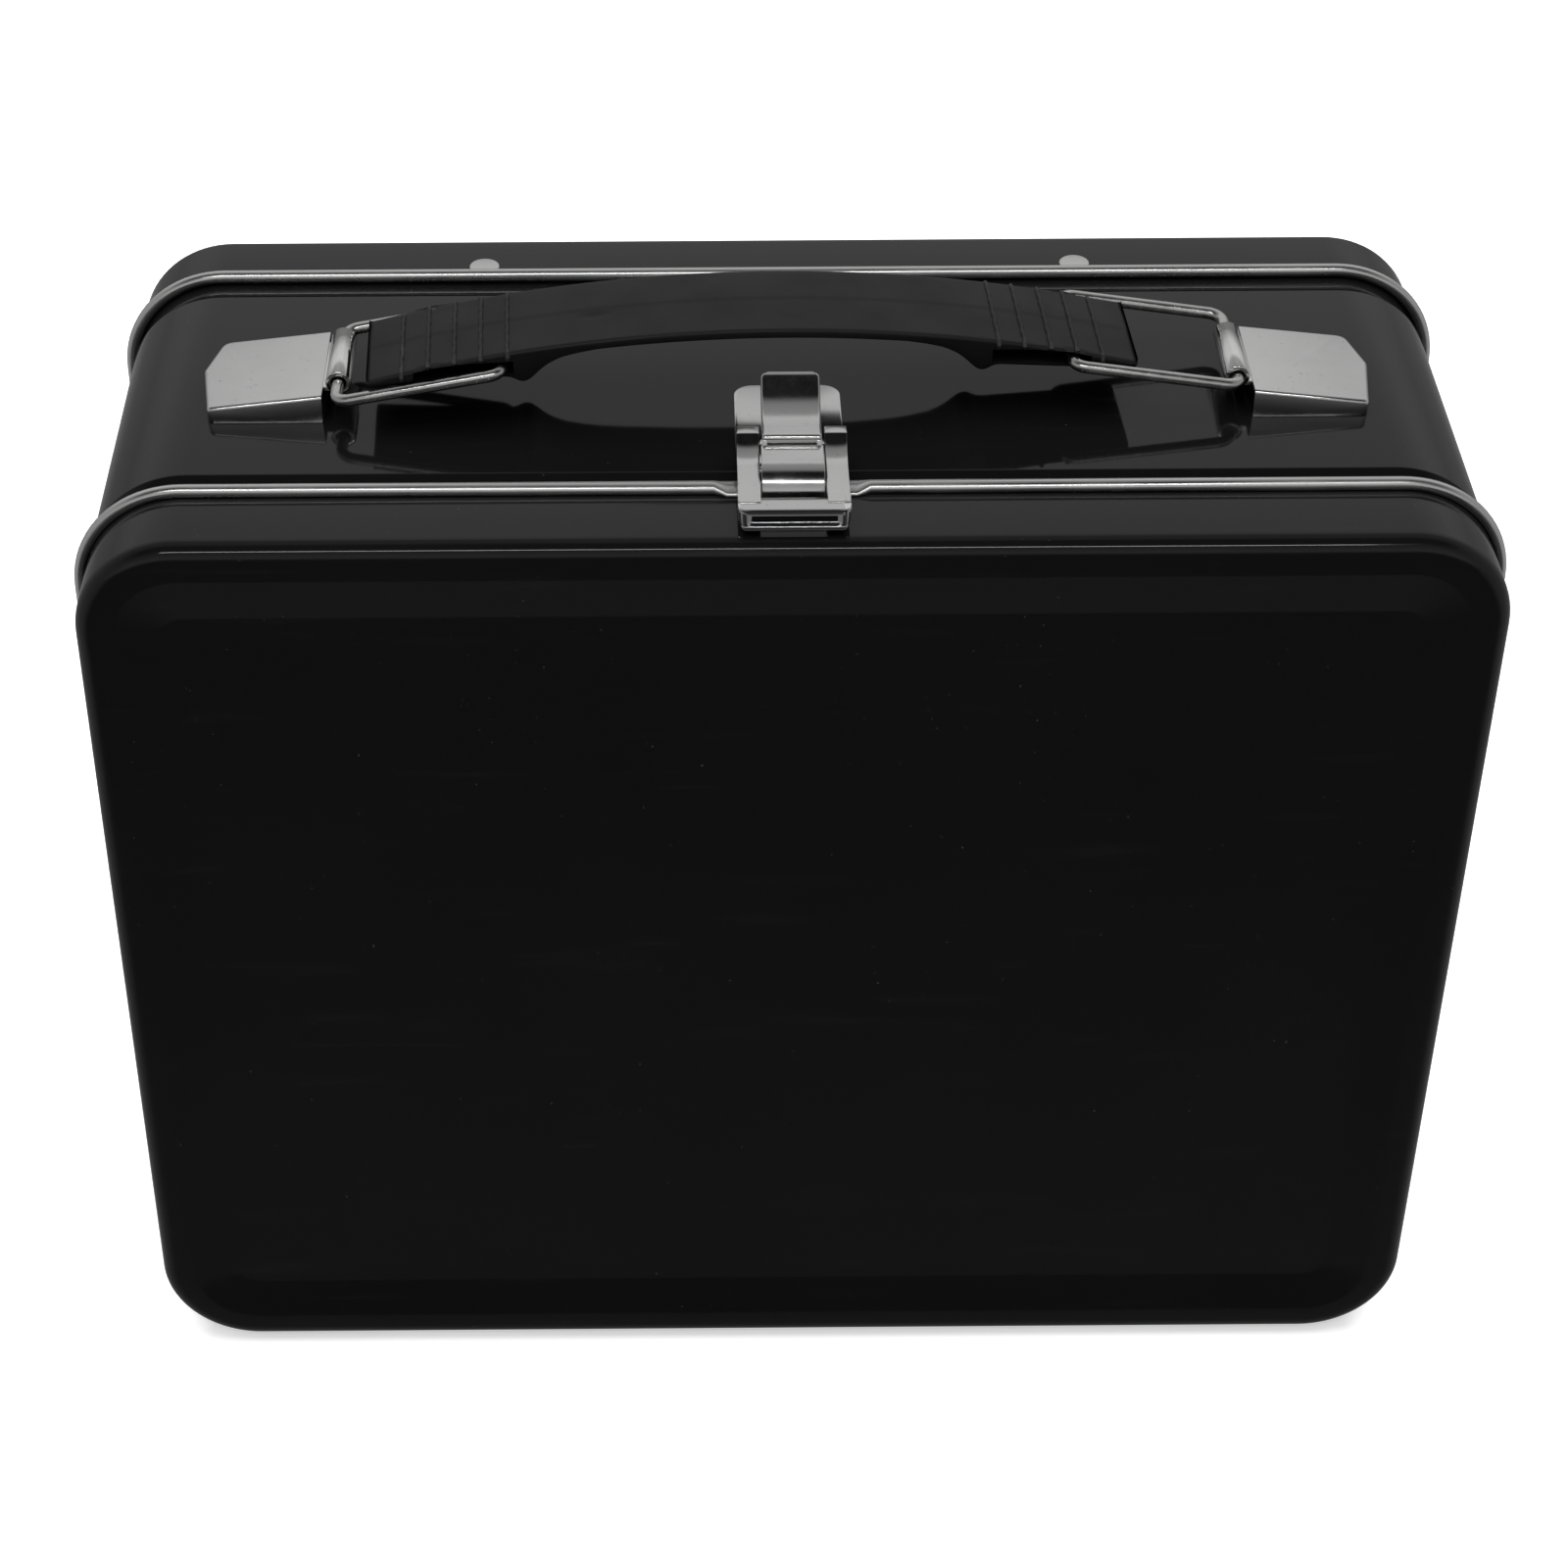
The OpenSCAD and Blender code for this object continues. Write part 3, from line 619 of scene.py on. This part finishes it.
def latch_front():
    """The bridge's front: a bright rim, a sunk panel whose middle is painted black as a dark reflection, a
    ridge below it and curled lower corners.
    """
    outline = blended([(-42.5, 4.85), (-45.9, 4.75), (-45.9, 4.2), (-45.25, 3.9), (-45.25, 2.35),
                       (-46.0, 1.85), (-46.0, 1.2), (-45.3, 0.95)], [0.5, 0.2, 0.3, 0.4, 0.3, 0.3], 5)
    sheet, edge_r, fine = 0.45, 0.06, 0.15
    panel_low, panel_high, flush_y = 1.9, 4.6, -45.92
    # Heights between which the sunk panel is painted black lacquer: a painted dark reflection in place of
    # the polished nickel.
    reflection_paint_low, reflection_paint_high = 2.35, 3.9
    panel_half, blend_w, curl = 6.4, 0.9, 1.1
    foot_h, foot_in, foot_lift = 1.6, 0.5, 0.35
    fine_steps = round((LATCH_HALF_W - panel_half) / fine)
    half = [0, 2, 4, 5.5, 6.0] + [panel_half + fine * i for i in range(fine_steps + 1)]
    rows = []
    for x in [-x for x in half[:0:-1]] + half:
        t = min(1, max(0, (abs(x) - panel_half) / blend_w))
        flush = t * t * (3 - 2 * t)
        edge = min(1, max(0, (abs(x) - (LATCH_HALF_W - curl)) / curl))
        back = curl * (1 - math.sqrt(1 - edge * edge))
        row = []
        for y, z in outline:
            if panel_low < z < panel_high:
                y += (min(y, flush_y) - y) * flush
            low = max(0, 1 - (z - outline[-1][1]) / foot_h)
            inwards = math.copysign(foot_in * edge * edge * low, x)
            row.append((x - inwards, y + back, TOP_Z + z + foot_lift * edge * low))
        rows.append(row)
    front = grid("front", rows, sheet, edge_r)
    # The middle of the sunk panel takes the second slot, black lacquer: a painted dark reflection in the
    # polished nickel.
    for polygon in front.data.polygons:
        x, _y, z = polygon.center / MM
        polygon.material_index = abs(x) < panel_half and reflection_paint_low < z - TOP_Z < reflection_paint_high
    return front


def latch_housing():
    """Base, two legs and front, pressed from one sheet."""
    pieces = [latch_base(), latch_leg(-1), latch_leg(1), latch_front()]
    return joined("latch_housing_pressing", pieces)


def latch_lever():
    """Level top with a turned-down lip, and a raised tab whose corners and edges are rounded."""
    tab_turn, tab_l, tab_y, level = math.radians(35), 7.0, -23.4, 7.9
    skirt, round_r, sheet, cheek_t, cheek_edge = 1.2, 0.45, 0.55, 0.8, 0.12
    tip = (tab_y + tab_l * math.cos(tab_turn), level + tab_l * math.sin(tab_turn))
    path = blended([(-29.7, 5.9), (-30.0, 6.6), (-30.0, level), (tab_y, level), tip], [0.3, 0.9, 11.0], 12)
    top = folded("top", path, LEVER_HALF_W, skirt, round_r, sheet, end_round=0.9, plain_start=2.6)
    cheek = [(-30, 7.2), (-24, 7.2), (-24.6, 5.8), (-30.9, 2.2), (-31.5, 1.6), (-32.4, 1.5), (-33.5, 1.9),
             (-34.1, 3.0), (-36.6, 3.6), (-36.8, 4.7), (-35.7, 5.4), (-34.4, 5.7), (-30.6, 5.7)]
    cheek = [(y, TOP_Z + z) for y, z in cheek]
    inner, outer = LEVER_HALF_W - cheek_t, LEVER_HALF_W
    cheeks = [block("cheek", cheek, side * inner, side * outer, from_side, cheek_edge) for side in (-1, 1)]
    return joined("latch_lever_pressing", [top] + cheeks)


def latch_hook():
    """Strap with a level top and a round front that returns under the lid's bead."""
    half_w, skirt, round_r, sheet = 4.8, 0.5, 0.12, 0.5
    bend = arc(-34.4, 1.6, 4.9, 180, 90, 16)
    path = [(-36.1, 0.3), (-38.9, 0.3), (-39.3, 0.7)] + bend + [(-30.4, 6.5)]
    return folded("latch_hook_pressing", path, half_w, skirt, round_r, sheet)


def lathe(name, profile, centre, sides=40):
    """A ring about the y direction through centre, from a closed profile of y and radius."""
    bm = bmesh.new()
    turns = [2 * math.pi * k / sides for k in range(sides)]
    rings = [[bm.verts.new((centre[0] + r * math.cos(a), centre[1] + y, centre[2] + r * math.sin(a)))
              for a in turns] for y, r in profile]
    bridge_rings(bm, rings + rings[:1])
    return finish_mesh(name, bm, sharp_deg=50)


BRACKET_Y = -2.2
BRACKET_X = 73.5                        # the plate's inner edge


def bracket_plate(place):
    """The plate: it falls slightly to its outer end, and its edges turn down to the band."""
    half, round_r, sheet, edge_r = 10.3, 0.65, 0.6, 0.1
    inner_h, fall = 4.8, 2 / 17.5
    corners = [(BRACKET_X, -half), (91.7, -half), (93.4, 2.0), (91.0, half), (BRACKET_X, half)]
    outline = blended(corners, [1.2, 2.0, 2.2], 6)
    rows = []
    for i, point in enumerate(outline):
        before, after = outline[max(i - 1, 0)], outline[min(i + 1, len(outline) - 1)]
        along = (Vector(after) - Vector(before)).normalized()
        inward = Vector((-along.y, along.x))
        row = [place(point[0], point[1], 0.0)]
        for a in (0, 18, 36, 54, 72, 90):
            turn = math.radians(a)
            inset, drop = round_r * (1 - math.cos(turn)), round_r * (1 - math.sin(turn))
            x, y = Vector(point) + inward * inset
            row.append(place(x, y, inner_h - (x - BRACKET_X) * fall - drop))
        rows.append(row)
    bm = bmesh.new()
    verts = [[bm.verts.new(p) for p in row] for row in rows]
    bridge_rows(bm, verts)
    top = bm.faces.new([row[-1] for row in reversed(verts)])
    bm.normal_update()
    if top.normal.z < 0:
        bmesh.ops.reverse_faces(bm, faces=bm.faces)
    return worked(as_object("plate", bm), edge_r, sheet=sheet)


def bracket(name, side):
    """Pressed plate, a rolled barrel along its inner edge, and two prongs clenched under the band."""
    def place(x, y, z):
        return (side * x, BRACKET_Y + y, TOP_Z + z)

    barrel_half, outer_r, bore_r, edge = 7.0, 2.05, 1.3, 0.15
    profile = [(-barrel_half, bore_r), (-barrel_half, outer_r - edge), (-barrel_half + edge, outer_r),
               (barrel_half - edge, outer_r), (barrel_half, outer_r - edge), (barrel_half, bore_r)]
    barrel = lathe("barrel", profile, (side * LOOP_HINGE_X, BRACKET_Y, LOOP_HINGE_Z))
    web_low, web_high, web_end, web_edge = 3.9, 4.6, BRACKET_X + 0.8, 0.1
    web = rectangle(LOOP_HINGE_X + bore_r, web_end, -barrel_half, barrel_half)
    pieces = [bracket_plate(place), barrel, block("web", web, web_low, web_high, place, web_edge)]
    prong_x, prong_half, prong_y, prong_t, prong_top, prong_edge = 82.0, 2.5, 6.0, 0.7, 3.3, 0.1
    fold_l, fold_t, fold_edge = 4.6, 0.8, 0.15
    near, far = prong_x - prong_t / 2, prong_x + prong_t / 2
    for y in (-prong_y, prong_y):
        through = rectangle(near, far, y - prong_half, y + prong_half)
        pieces.append(block("prong", through, -SHEET - fold_t, prong_top, place, prong_edge))
        fold = rectangle(near - fold_l, far, y - prong_half, y + prong_half)
        pieces.append(block("fold", fold, -SHEET - fold_t, -SHEET, place, fold_edge))
    return joined(name, pieces)


# ---------- materials ----------


def maths_node(tree, operation, *values):
    """The result of a maths node on numbers and other nodes' outputs."""
    node = tree.nodes.new("ShaderNodeMath")
    node.operation = operation
    for socket, value in zip(node.inputs, values):
        if isinstance(value, (int, float)):
            socket.default_value = value
        else:
            tree.links.new(value, socket)
    return node.outputs["Value"]


def mix_node(tree, factor, a, b):
    """A blend of two colours, each a tuple or another node's output."""
    node = tree.nodes.new("ShaderNodeMix")
    node.data_type = "RGBA"
    tree.links.new(factor, node.inputs["Factor"])
    for socket, value in ((node.inputs["A"], a), (node.inputs["B"], b)):
        if isinstance(value, tuple):
            socket.default_value = (*value, 1.0)
        else:
            tree.links.new(value, socket)
    return node.outputs["Result"]


def range_node(tree, value, low, high, to_low=0.0, to_high=1.0, kind="LINEAR"):
    """A value carried from one range to another, and held at its ends."""
    node = tree.nodes.new("ShaderNodeMapRange")
    node.interpolation_type = kind
    tree.links.new(value, node.inputs["Value"])
    for socket, number in (("From Min", low), ("From Max", high), ("To Min", to_low), ("To Max", to_high)):
        node.inputs[socket].default_value = number
    return node.outputs["Result"]


class Paint:
    """A Principled material and the few nodes that the finishes below share."""

    def __init__(self, name, metallic=0.0, **constants):
        self.material = bpy.data.materials.new(name)
        self.material.use_nodes = True
        self.tree = self.material.node_tree
        self.nodes, self.links = self.tree.nodes, self.tree.links
        self.shader = self.nodes["Principled BSDF"]
        self.shader.inputs["Metallic"].default_value = metallic
        for socket, value in constants.items():
            self.shader.inputs[socket.replace("_", " ")].default_value = value
        self.place = self.nodes.new("ShaderNodeTexCoord").outputs["Object"]

    def noise(self, size_mm, detail=3.0, stretch=(1, 1, 1)):
        """Noise whose features are about size_mm across, drawn out by stretch."""
        mapping = self.nodes.new("ShaderNodeMapping")
        mapping.inputs["Scale"].default_value = [1 / s for s in stretch]
        self.links.new(self.place, mapping.inputs["Vector"])
        texture = self.nodes.new("ShaderNodeTexNoise")
        texture.inputs["Scale"].default_value = 1 / (size_mm * MM)
        texture.inputs["Detail"].default_value = detail
        self.links.new(mapping.outputs["Vector"], texture.inputs["Vector"])
        return texture.outputs["Fac"]

    def ramp(self, value, low, high, to_low=0.0, to_high=1.0):
        return range_node(self.tree, value, low, high, to_low, to_high)

    def scaled(self, value, amount):
        return maths_node(self.tree, "MULTIPLY", value, amount)

    def total(self, a, b):
        return maths_node(self.tree, "ADD", a, b)

    def mix(self, factor, a, b):
        return mix_node(self.tree, factor, a, b)

    def edges(self, low=0.52, high=0.6):
        """One on outer edges and zero on flats."""
        geometry = self.nodes.new("ShaderNodeNewGeometry")
        return self.ramp(geometry.outputs["Pointiness"], low, high)

    def bump(self, height, depth_mm):
        """Relief from a height between zero and one."""
        node = self.nodes.new("ShaderNodeBump")
        node.inputs["Distance"].default_value = depth_mm * MM
        self.links.new(height, node.inputs["Height"])
        self.links.new(node.outputs["Normal"], self.shader.inputs["Normal"])

    def set(self, socket, value):
        self.links.new(value, self.shader.inputs[socket])


def black_lacquer():
    """Gloss black enamel: a trace of orange peel, cloudy polish, dust specks and fine rubs."""
    p = Paint("black_lacquer", Specular_IOR_Level=0.27)
    cloud = p.noise(45)
    rubs = p.ramp(p.noise(2.0, 6, stretch=(14, 1, 1)), 0.60, 0.78)
    specks = p.ramp(p.noise(0.55, 2), 0.76, 0.80)
    base = p.mix(cloud, (0.0030, 0.0030, 0.0031), (0.0040, 0.0040, 0.0041))
    base = p.mix(p.scaled(rubs, 0.03), base, (0.05, 0.05, 0.05))
    base = p.mix(p.scaled(specks, 0.35), base, (0.12, 0.12, 0.115))
    p.set("Base Color", base)
    rough = p.ramp(cloud, 0.3, 0.7, 0.045, 0.085)
    rough = p.total(rough, p.scaled(rubs, 0.10))
    p.set("Roughness", p.total(rough, p.scaled(specks, 0.4)))
    p.bump(p.noise(3.0, 2), 0.002)
    return p.material


def bare_tin():
    """Bare tinplate: a faint crystal pattern, rolling lines and dull patches."""
    p = Paint("bare_tin", metallic=1.0)
    patches = p.noise(12, 4)
    lines = p.noise(0.4, 3, stretch=(40, 1, 1))
    p.set("Base Color", p.mix(patches, (0.60, 0.60, 0.60), (0.76, 0.76, 0.75)))
    rough = p.ramp(patches, 0.3, 0.7, 0.18, 0.34)
    p.set("Roughness", p.total(rough, p.scaled(lines, 0.08)))
    p.bump(lines, 0.001)
    return p.material


def nickel():
    """Nickel plate on stamped steel: hazy, a little brushed, lighter on its outer edges."""
    p = Paint("nickel", metallic=1.0)
    haze = p.noise(6, 5)
    brushed = p.noise(0.25, 2, stretch=(1, 18, 1))
    pits = p.ramp(p.noise(0.5, 1), 0.72, 0.78)
    base = p.mix(haze, (0.56, 0.56, 0.555), (0.66, 0.66, 0.66))
    base = p.mix(p.edges(), base, (0.82, 0.82, 0.81))
    p.set("Base Color", p.mix(p.scaled(pits, 0.5), base, (0.16, 0.155, 0.15)))
    rough = p.ramp(haze, 0.3, 0.7, 0.07, 0.15)
    p.set("Roughness", p.total(rough, p.scaled(brushed, 0.08)))
    p.bump(brushed, 0.0012)
    return p.material


def steel_wire():
    """Drawn wire with a thin plating: fine lines along it and a few dull spots."""
    p = Paint("steel_wire", metallic=1.0)
    spots = p.noise(2.5, 4)
    drawn = p.noise(0.2, 2, stretch=(20, 1, 1))
    p.set("Base Color", p.mix(spots, (0.48, 0.48, 0.475), (0.70, 0.70, 0.69)))
    rough = p.ramp(spots, 0.3, 0.7, 0.14, 0.28)
    p.set("Roughness", p.total(rough, p.scaled(drawn, 0.06)))
    p.bump(drawn, 0.0008)
    return p.material


def black_vinyl():
    """Moulded black plastic: satin skin, fine grain and lighter edges, a painted sheen."""
    p = Paint("black_vinyl", Specular_IOR_Level=0.17)
    cloud = p.noise(9, 4)
    grain = p.noise(0.35, 3)
    base = p.mix(cloud, (0.0042, 0.0042, 0.0044), (0.0062, 0.0062, 0.0064))
    # Lighter colour on the outer edges: a painted sheen.
    p.set("Base Color", p.mix(p.scaled(p.edges(), 0.4), base, (0.035, 0.035, 0.035)))
    rough = p.ramp(cloud, 0.3, 0.7, 0.34, 0.48)
    p.set("Roughness", p.total(rough, p.scaled(grain, 0.06)))
    p.bump(grain, 0.012)
    return p.material


MATERIALS = {f.__name__: f() for f in (black_lacquer, bare_tin, nickel, steel_wire, black_vinyl)}
SLOT_OF = {row["node"]: row["material_slot"] for row in frame["record"]["subparts"]}
BODY_OF = {node: body for body, nodes in frame["record"]["behaviour"]["bodies"].items() for node in nodes}


def coated(obj, *names):
    """Puts the named finishes in the object's slots, and leaves its faces' own choice of slot alone."""
    slots = obj.data.materials
    while len(slots) < len(names):
        slots.append(None)
    for i, name in enumerate(names):
        slots[i] = MATERIALS[name]
    return obj


def stands_for(piece, node, *materials):
    """Gives a piece its materials and body, and lets it stand for a CAD node."""
    coated(piece, *(materials or (SLOT_OF[node],)))
    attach(piece, BODY_OF[node])
    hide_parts(node)
    return piece


# ---------- the object ----------

stands_for(pan("back_pan_stamping", 1, perimeter()), "back_pan", "black_lacquer", "bare_tin")
stands_for(pan("lid_stamping", -1, lid_stations()), "lid_pan", "black_lacquer", "bare_tin")
stands_for(band(), "band", "black_lacquer", "bare_tin")

stands_for(grip(), "handle_grip")
stands_for(wire_loop("loop_wire_left", -1), "wire_loop_left")
stands_for(wire_loop("loop_wire_right", 1), "wire_loop_right")

stands_for(bracket("bracket_pressing_left", -1), "handle_bracket_left")
stands_for(bracket("bracket_pressing_right", 1), "handle_bracket_right")
# The housing's second slot, black lacquer, is painted on the sunk front panel as a dark reflection.
stands_for(latch_housing(), "latch_housing", "nickel", "black_lacquer")
stands_for(latch_lever(), "latch_lever")
stands_for(latch_hook(), "latch_hook")

# These CAD nodes keep their shape, and get rounded edges of the given radius.
BEVELS = {"back_pan_rivets": 0.3, "hinge_body_rivets": 0.2, "hinge_lid_rivets": 0.2, "latch_rivets": 0.3,
          "hinge_body_leaf_left": 0.12, "hinge_body_leaf_right": 0.12, "hinge_lid_leaf_left": 0.12,
          "hinge_lid_leaf_right": 0.12, "hinge_pin_left": 0.1, "hinge_pin_right": 0.1, "latch_pin": 0.15}
for node, bevel in BEVELS.items():
    stands_for(refined(node, node + "_worked", bevel), node)
coated(frame["nodes"]["latch_spring"], SLOT_OF["latch_spring"])

# ---------- studio and camera ----------


def floor():
    """A plain pale floor that doesn't show in reflections."""
    half = 3.0
    mesh = bpy.data.meshes.new("floor")
    mesh.from_pydata([(x, y, 0) for x, y in rectangle(-half, half, -half, half)], [], [(0, 1, 2, 3)])
    obj = linked("floor", mesh)
    p = Paint("floor", Roughness=0.9, Emission_Color=(1, 1, 1, 1), Emission_Strength=0.5)
    p.set("Base Color", p.mix(p.noise(300, 2), (0.80, 0.80, 0.80), (0.82, 0.82, 0.82)))
    mesh.materials.append(p.material)
    obj.visible_glossy = False


def area_light(name, size, power, position, target=(0, 0, 0.09)):
    """A soft rectangular light that faces the box."""
    light = bpy.data.lights.new(name, "AREA")
    light.shape = "RECTANGLE"
    light.size, light.size_y = size
    light.energy = power
    obj = linked(name, light)
    obj.location = position
    obj.rotation_euler = (Vector(target) - Vector(position)).to_track_quat("-Z", "Y").to_euler()
    return obj


# Brightness of the room by direction, in degrees from the horizon behind the box,
# over the top (90) to the horizon in front of it (180). Below zero is under the horizon.
ROOM = [(-180, 0.02), (-160, 0.02), (-142, 0.03), (-122, 0.20), (-60, 0.30), (-15, 0.20), (5, 0.30),
        (22, 0.58), (52, 0.66), (60, 0.34), (84, 0.26), (94, 0.008), (116, 0.008), (138, 0.30),
        (165, 0.62), (178, 0.05)]
ROOM_SIDES = 0.35                       # brightness to the left and right
SIDES_FROM, SIDES_TO = 0.55, 0.95       # where the sides take over, by the direction's x
HALF_TURN = 0.5


def studio():
    """A room with a broad pale wall behind the box, a dark ceiling and a softer light in front."""
    world = bpy.data.worlds.new("studio")
    world.use_nodes = True
    tree = world.node_tree
    nodes, links = tree.nodes, tree.links
    direction = nodes.new("ShaderNodeSeparateXYZ")
    links.new(nodes.new("ShaderNodeTexCoord").outputs["Generated"], direction.inputs["Vector"])
    angle = maths_node(tree, "ARCTAN2", direction.outputs["Z"], direction.outputs["Y"])
    around = nodes.new("ShaderNodeValToRGB")
    turns = maths_node(tree, "MULTIPLY_ADD", angle, 1 / (2 * math.pi), HALF_TURN)
    links.new(turns, around.inputs["Fac"])
    stops = around.color_ramp.elements
    while len(stops) < len(ROOM):
        stops.new(HALF_TURN)
    for stop, (degrees, level) in zip(stops, ROOM):
        stop.position = degrees / 360 + HALF_TURN
        stop.color = (level, level, level, 1)
    across = maths_node(tree, "ABSOLUTE", direction.outputs["X"])
    sideways = range_node(tree, across, SIDES_FROM, SIDES_TO, kind="SMOOTHSTEP")
    room = mix_node(tree, sideways, around.outputs["Color"], (ROOM_SIDES, ROOM_SIDES, ROOM_SIDES))
    seen = nodes.new("ShaderNodeLightPath").outputs["Is Camera Ray"]
    links.new(mix_node(tree, seen, room, (1, 1, 1)), nodes["Background"].inputs["Color"])
    bpy.context.scene.world = world
    area_light("ceiling", (2.4, 2.4), 90, (0, 0, 2.2)).visible_glossy = False
    area_light("front_strip", (1.4, 0.08), 7.0, (-0.1, -1.41, 1.86))


CAMERA_AT = (-0.0178, -0.4718, 0.4560)
CAMERA_DEG = (0.179, 37.77, -0.281)     # to the right, down, and rolled
CAMERA_LENS = 77.9
CAMERA_SHIFT = 0.0623


def camera():
    """The camera at the photograph's viewing angle."""
    yaw, pitch, roll = (math.radians(a) for a in CAMERA_DEG)
    forward = Vector((math.sin(yaw) * math.cos(pitch), math.cos(yaw) * math.cos(pitch), -math.sin(pitch)))
    level = Vector((math.cos(yaw), -math.sin(yaw), 0))
    up = level.cross(forward)
    right = math.cos(roll) * level + math.sin(roll) * up
    up = -math.sin(roll) * level + math.cos(roll) * up
    data = bpy.data.cameras.new("camera")
    data.sensor_width = 36
    data.lens = CAMERA_LENS
    data.shift_x = CAMERA_SHIFT
    data.clip_start = 0.01
    obj = linked("camera", data)
    turn = Matrix((right, up, -forward)).transposed().to_4x4()
    obj.matrix_world = Matrix.Translation(CAMERA_AT) @ turn
    bpy.context.scene.camera = obj


floor()
studio()
camera()
bpy.context.scene.view_settings.view_transform = "Standard"
